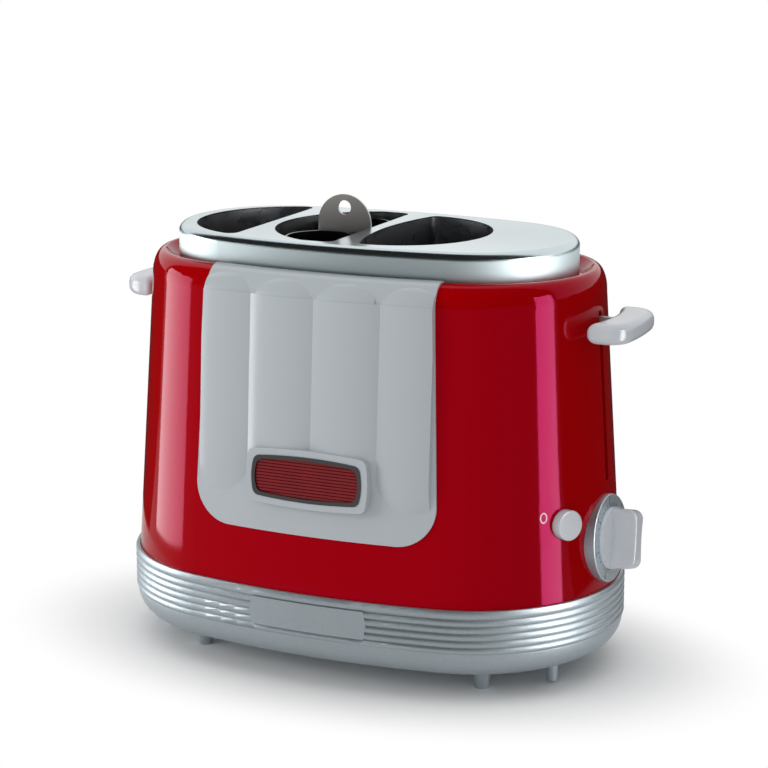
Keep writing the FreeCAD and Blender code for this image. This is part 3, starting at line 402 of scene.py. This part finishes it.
# Dots of the printing plate, 0.3 mm apart
screen = add_node(tree, "ShaderNodeTexNoise", {"Vector": place.outputs["Object"], "Scale": 1 / 0.0003})
tone = add_node(tree, "ShaderNodeMix", {"Factor": screen.outputs["Fac"], 6: linear("#1F2226"),
                                        7: linear("#33373C")}, data_type="RGBA")
ink = add_node(tree, "ShaderNodeBsdfPrincipled", {"Base Color": tone.outputs[2], "Roughness": 0.5})
add_node(tree, "ShaderNodeOutputMaterial", {"Surface": ink.outputs["BSDF"]})

dial_joint = next(joint for joint in frame["joints"] if joint["name"] == "timer_turn")
dial_axis = Vector(dial_joint["axis"]).normalized()
dial_centre = Vector(dial_joint["pos_m"])
# The face of the bezel stands this far in front of the joint's place
dial_face = 0.0022
dial_up = (Vector((0, 0, 1)) - dial_axis * dial_axis.z).normalized()
dial_right = dial_up.cross(dial_axis)
# Scale drawn flat with X to the right and Y up, then set on the face of the bezel
to_dial = Matrix((dial_right, dial_up, dial_axis)).transposed().to_4x4()
to_dial.translation = dial_centre + dial_axis * dial_face
ink_thickness = 0.00006
# Degrees from the top of the dial, and metres from its centre
scale_end = 150
tick_step = 10
number_step = 50
tick_foot = 0.0173
number_ring = 0.0214
number_height = 0.0032
long_size = (0.00045, 0.0022)
short_size = (0.0003, 0.0013)

bm = bmesh.new()
for degrees in range(-scale_end, scale_end + 1, tick_step):
    has_number = (degrees + scale_end) % number_step == 0
    width, length = long_size if has_number else short_size
    tick = bmesh.ops.create_cube(bm, size=1.0)["verts"]
    bmesh.ops.scale(bm, vec=(width, length, ink_thickness), verts=tick)
    bmesh.ops.translate(bm, vec=(0, tick_foot + length / 2, ink_thickness / 2), verts=tick)
    turn = Matrix.Rotation(math.radians(-degrees), 3, "Z")
    bmesh.ops.rotate(bm, cent=(0, 0, 0), matrix=turn, verts=tick)
bmesh.ops.transform(bm, matrix=to_dial, verts=bm.verts)
add_piece("dial_ticks", bm, dark_ink, "housing")

bm = bmesh.new()
for number, degrees in enumerate(range(-scale_end, scale_end + 1, number_step)):
    text = bpy.data.curves.new("number", "FONT")
    text.body = str(number)
    text.size = number_height
    text.align_x = "CENTER"
    text.align_y = "CENTER"
    text.extrude = ink_thickness / 2
    label = bpy.data.objects.new("number", text)
    mesh = bpy.data.meshes.new_from_object(label)
    angle = math.radians(degrees)
    spot = (number_ring * math.sin(angle), number_ring * math.cos(angle), ink_thickness / 2)
    mesh.transform(Matrix.Translation(spot))
    bm.from_mesh(mesh)
    bpy.data.objects.remove(label)
    bpy.data.meshes.remove(mesh)
bmesh.ops.transform(bm, matrix=to_dial, verts=bm.verts)
add_piece("dial_numbers", bm, dark_ink, "housing")

# O mark beside the cancel button
# A small upright ring pad-printed on the shell in white ink. It lies on the arc that the right end
# of the shell follows, and leans back with the draft of the moulding.

white_ink, tree = new_material("white_pad_ink")
place = add_node(tree, "ShaderNodeTexCoord", {})
# Dots of the printing plate, 0.3 mm apart
screen = add_node(tree, "ShaderNodeTexNoise", {"Vector": place.outputs["Object"], "Scale": 1 / 0.0003})
tone = add_node(tree, "ShaderNodeMix", {"Factor": screen.outputs["Fac"], 6: linear("#E6C9CE"),
                                        7: linear("#F2DEE2")}, data_type="RGBA")
ink = add_node(tree, "ShaderNodeBsdfPrincipled", {"Base Color": tone.outputs[2], "Roughness": 0.4})
add_node(tree, "ShaderNodeOutputMaterial", {"Surface": ink.outputs["BSDF"]})

arc_centre = 0.05712
arc_radius = 0.07722
mark_height = 0.097
mark_turn = math.radians(-39.3)
mark_draft = math.radians(3.8)
mark_lift = 0.00012
# Half widths and half heights of the ring's outer and inner edge
outer_edge = (0.00216, 0.0029)
inner_edge = (0.0014, 0.00215)
around = Vector((math.cos(mark_turn), math.sin(mark_turn), 0))
mark_out = around * math.cos(mark_draft) + Vector((0, 0, math.sin(mark_draft)))
mark_up = (Vector((0, 0, 1)) - mark_out * mark_out.z).normalized()
to_mark = Matrix((mark_up.cross(mark_out), mark_up, mark_out)).transposed().to_4x4()
to_mark.translation = Vector((arc_centre, 0, mark_height)) + around * arc_radius
bm = bmesh.new()
for half_wide, half_high in (outer_edge, inner_edge):
    oval = bmesh.ops.create_circle(bm, segments=48, radius=1.0)["verts"]
    bmesh.ops.scale(bm, vec=(half_wide, half_high, 1), verts=oval)
bmesh.ops.bridge_loops(bm, edges=bm.edges[:])
bmesh.ops.translate(bm, vec=(0, 0, mark_lift), verts=bm.verts)
bmesh.ops.transform(bm, matrix=to_mark, verts=bm.verts)
add_piece("o_mark", bm, white_ink, "housing")

# Studio: floor, backdrop colour, lamps and camera
# A white floor that fades into a white surround, a large soft box overhead, two weaker ones in
# front and to the left, and one at each end for the upright strips in the shell.

floor_material, tree = new_material("white_floor")
place = add_node(tree, "ShaderNodeTexCoord", {})
# Distance in multiples of the base's half length and half width, so 1 is the edge of the base
half_length, half_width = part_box("base_housing")[1][:2]
oval_place = add_node(tree, "ShaderNodeMapping", {"Vector": place.outputs["Object"],
                                                  "Scale": (1 / half_length, 1 / half_width, 1.0)})
away = add_node(tree, "ShaderNodeVectorMath", {0: oval_place.outputs["Vector"]}, operation="LENGTH")
fade = add_node(tree, "ShaderNodeMapRange", {"Value": away.outputs["Value"], "From Min": 0.85,
                                             "From Max": 1.65}, interpolation_type="SMOOTHSTEP")
rays = add_node(tree, "ShaderNodeLightPath", {})
share = add_node(tree, "ShaderNodeMath", {0: rays.outputs["Is Camera Ray"], 1: fade.outputs["Result"]},
                 operation="MULTIPLY")
paper = add_node(tree, "ShaderNodeBsdfDiffuse", {"Color": linear("#F4F4F4")})
white = add_node(tree, "ShaderNodeEmission", {"Color": linear("#FFFFFF"), "Strength": 1.0})
mixed = add_node(tree, "ShaderNodeMixShader", {"Fac": share.outputs[0], 1: paper.outputs[0],
                                               2: white.outputs[0]})
add_node(tree, "ShaderNodeOutputMaterial", {"Surface": mixed.outputs[0]})

bm = bmesh.new()
bmesh.ops.create_circle(bm, cap_ends=True, segments=64, radius=20.0)
mesh = bpy.data.meshes.new("floor")
bm.to_mesh(mesh)
bm.free()
floor = bpy.data.objects.new("floor", mesh)
bpy.context.scene.collection.objects.link(floor)
mesh.materials.append(floor_material)

world = bpy.data.worlds.new("studio")
world.use_nodes = True
bpy.context.scene.world = world
tree = world.node_tree
tree.nodes.clear()
rays = add_node(tree, "ShaderNodeLightPath", {})
seen = add_node(tree, "ShaderNodeMath", {0: rays.outputs["Is Camera Ray"],
                                         1: rays.outputs["Is Glossy Ray"]}, operation="MAXIMUM")
seen = add_node(tree, "ShaderNodeMath", {0: seen.outputs[0], 1: rays.outputs["Is Transmission Ray"]},
                operation="MAXIMUM")
level = add_node(tree, "ShaderNodeMapRange", {"Value": seen.outputs[0], "To Min": 0.55, "To Max": 1.0})
surround = add_node(tree, "ShaderNodeBackground", {"Color": linear("#FFFFFF"),
                                                   "Strength": level.outputs["Result"]})
add_node(tree, "ShaderNodeOutputWorld", {"Surface": surround.outputs[0]})


def add_softbox(name, place, target, size, power):
    """Soft box at a place, turned to a target, in metres and watts."""
    lamp = bpy.data.lights.new(name, "AREA")
    lamp.shape = "RECTANGLE"
    lamp.size, lamp.size_y = size
    lamp.energy = power
    box = bpy.data.objects.new(name, lamp)
    bpy.context.scene.collection.objects.link(box)
    box.location = place
    box.rotation_euler = (Vector(target) - Vector(place)).to_track_quat("-Z", "Y").to_euler()
    box.visible_camera = False
    return box


overhead_box = add_softbox("overhead_box", (0.0, 0.1, 1.5), (0, 0, 0.1), (1.5, 1.5), 4)
front_fill = add_softbox("front_fill", (0.3, -1.6, 0.8), (0, 0, 0.12), (0.9, 0.9), 1)
left_fill = add_softbox("left_fill", (-1.1, -0.9, 0.5), (0, 0, 0.12), (0.6, 0.6), 6)
left_box = add_softbox("left_box", (-0.35, -0.122, 0.155), (-0.05, -0.05, 0.155), (0.186, 0.30), 0.85)
right_box = add_softbox("right_box", (0.322, -0.061, 0.155), (0.10, -0.04, 0.155), (0.075, 0.30), 0.75)
for box in (overhead_box, front_fill, left_fill):
    box.visible_glossy = False
# The boxes at the ends only show as reflections, so they don't light the ends of the shell
for box in (left_box, right_box):
    box.visible_diffuse = False

# A drum of cards that only reflections see: grey ones stand and lie in front, black ones stand
# behind and hang over the front half of the table. Over its back half, above gap_low, the drum is
# open, so the steel top sees the white surround.
card_radius = 0.75
card_height = 1.0
card_lift = 0.001
gap_low = 0.28
gap_front = 0.05
ring_start = 0.34
bm = bmesh.new()
bmesh.ops.create_cone(bm, cap_ends=True, segments=72, radius1=card_radius, radius2=card_radius,
                      depth=card_height)
bmesh.ops.translate(bm, vec=(0, 0, card_height / 2), verts=bm.verts)
for point, normal in (((0, 0, gap_low), (0, 0, 1)), ((0, gap_front, 0), (0, 1, 0))):
    drum = bm.verts[:] + bm.edges[:] + bm.faces[:]
    bmesh.ops.bisect_plane(bm, geom=drum, plane_co=point, plane_no=normal)
open_faces = []
for face in bm.faces:
    centre = face.calc_center_median()
    if centre.z < card_lift or (centre.y > gap_front and centre.z > gap_low):
        open_faces.append(face)
bmesh.ops.delete(bm, geom=open_faces, context="FACES")
for radius in (ring_start, card_radius):
    circle = bmesh.ops.create_circle(bm, segments=72, radius=radius)["verts"]
    bmesh.ops.translate(bm, vec=(0, 0, card_lift), verts=circle)
bmesh.ops.bridge_loops(bm, edges=[edge for edge in bm.edges if edge.is_wire])
for face in bm.faces:
    centre = face.calc_center_median()
    face.material_index = 1 if centre.z < gap_low and centre.y < gap_front else 0
mesh = bpy.data.meshes.new("dark_cards")
bm.to_mesh(mesh)
bm.free()
cards = bpy.data.objects.new("dark_cards", mesh)
bpy.context.scene.collection.objects.link(cards)
for name, strength in (("black_card", 0.02), ("grey_card", 0.4)):
    card_material, tree = new_material(name)
    card = add_node(tree, "ShaderNodeEmission", {"Color": linear("#FFFFFF"), "Strength": strength})
    add_node(tree, "ShaderNodeOutputMaterial", {"Surface": card.outputs[0]})
    mesh.materials.append(card_material)
for ray in ("camera", "diffuse", "transmission", "shadow", "volume_scatter"):
    setattr(cards, "visible_" + ray, False)

camera_data = bpy.data.cameras.new("camera")
camera_data.lens = 111.3
camera_data.sensor_width = 36.0
camera = bpy.data.objects.new("camera", camera_data)
bpy.context.scene.collection.objects.link(camera)
camera.location = (0.5291, -1.1396, 0.4433)
aim = Vector((-0.0097, 0.0314, 0.1376)) - camera.location
camera.rotation_euler = aim.to_track_quat("-Z", "Y").to_euler()
bpy.context.scene.camera = camera

bpy.context.scene.view_settings.view_transform = "Standard"
